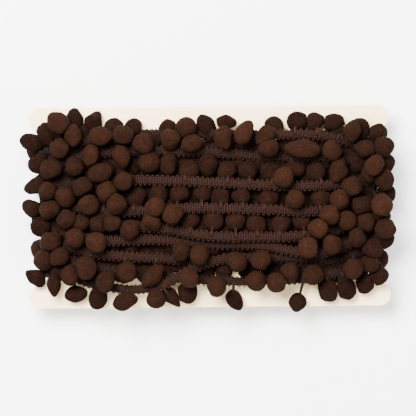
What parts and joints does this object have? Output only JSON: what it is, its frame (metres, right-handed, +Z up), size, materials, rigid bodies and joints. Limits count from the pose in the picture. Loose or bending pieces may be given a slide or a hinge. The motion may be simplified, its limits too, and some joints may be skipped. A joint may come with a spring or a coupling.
{
  "type": "pompom fringe trim on a card",
  "caption": "Narrow gimp trim with small hanging pompoms, wound in a thick bundle round the waist of a flat dog-bone card.",
  "frame": {"origin": "middle of the bounding box's underside, on the surface that the trim rests on", "axes": "+X along the card's long side, +Y across the card, +Z up from the surface, out of the card's front"},
  "size_m": [0.2388, 0.1294, 0.0555],
  "materials": {
    "card": "smooth matt ivory card",
    "inner_winding": "dark brown wound yarn trim",
    "trim": "brown velvety pompoms on a dark brown gimp braid"
  },
  "bodies": {
    "root": {"card": "card", "inner_winding": "inner_winding", "turn_1": "trim", "turn_2": "trim", "turn_3": "trim", "turn_4": "trim", "turn_5": "trim", "turn_6": "trim", "turn_7": "trim", "turn_8": "trim", "turn_9": "trim"}
  },
  "joints": []
}
